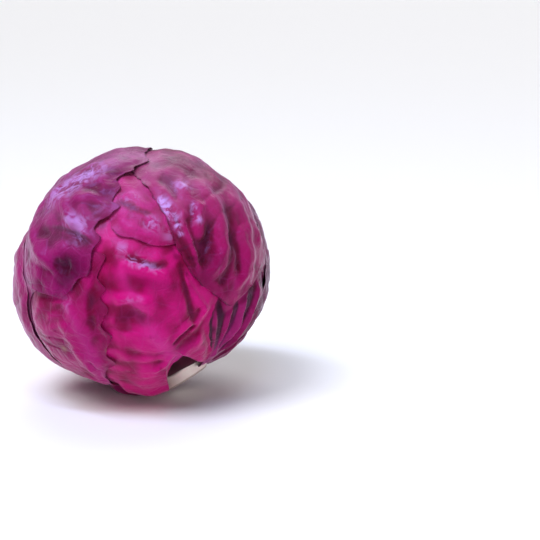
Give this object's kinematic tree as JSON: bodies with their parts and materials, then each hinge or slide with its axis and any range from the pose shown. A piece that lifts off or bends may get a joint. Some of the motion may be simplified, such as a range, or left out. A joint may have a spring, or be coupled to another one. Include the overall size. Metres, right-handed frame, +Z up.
{
  "type": "red cabbage head",
  "caption": "Head of red cabbage: wavy-edged outer leaves lapped round a tight heart, all grown from one cut stem.",
  "frame": {"origin": "middle of the small flat spot the head rests on, at floor level", "axes": "+Z up; the front faces -Y; +X to the right seen from the front; the cut stem points down and leans 25 degrees to the front right"},
  "size_m": [0.1541, 0.1557, 0.1471],
  "materials": {
    "outer_leaf": "waxy red-purple leaf, glossy in the hollows and bluish where the bloom is thick",
    "heart_leaves": "tight dark purple leaves, dull",
    "cut_stem": "pale cream stem, dry and dull, browned at the cut"
  },
  "bodies": {
    "root": {"stem": "cut_stem", "heart": "heart_leaves", "leaf_back": "outer_leaf", "leaf_right": "outer_leaf", "leaf_front": "outer_leaf", "leaf_left": "outer_leaf", "leaf_crown_front": "outer_leaf", "leaf_crown_right": "outer_leaf", "leaf_crown_left": "outer_leaf", "leaf_outer_right": "outer_leaf", "leaf_outer_left": "outer_leaf"}
  },
  "joints": []
}
